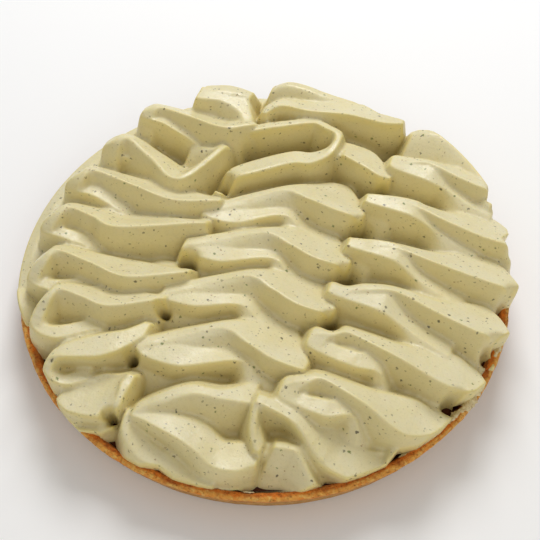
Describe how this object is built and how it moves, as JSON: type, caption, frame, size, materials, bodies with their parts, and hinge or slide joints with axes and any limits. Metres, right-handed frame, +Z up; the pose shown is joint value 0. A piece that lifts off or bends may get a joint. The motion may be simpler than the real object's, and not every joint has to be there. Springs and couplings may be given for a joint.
{
  "type": "chocolate pistachio tart",
  "caption": "Round whole tart: a browned pastry shell holds a dark chocolate filling under side-by-side columns of pistachio cream piped in deep folded waves.",
  "frame": {"origin": "centre of the flat underside of the pastry shell", "axes": "+Z up through the cream, +Y along the piped columns towards the back row, +X across the columns towards the right-hand column"},
  "size_m": [0.2144, 0.2138, 0.0392],
  "materials": {
    "baked_pastry": "baked, browned, slightly rough",
    "chocolate": "dark, set, faintly glossy",
    "pistachio_cream": "soft satin with glossy wet spots and fine dark specks"
  },
  "bodies": {
    "root": {"pastry_shell": "baked_pastry", "chocolate_filling": "chocolate", "cream_left": "pistachio_cream", "cream_middle": "pistachio_cream", "cream_right": "pistachio_cream"}
  },
  "joints": []
}
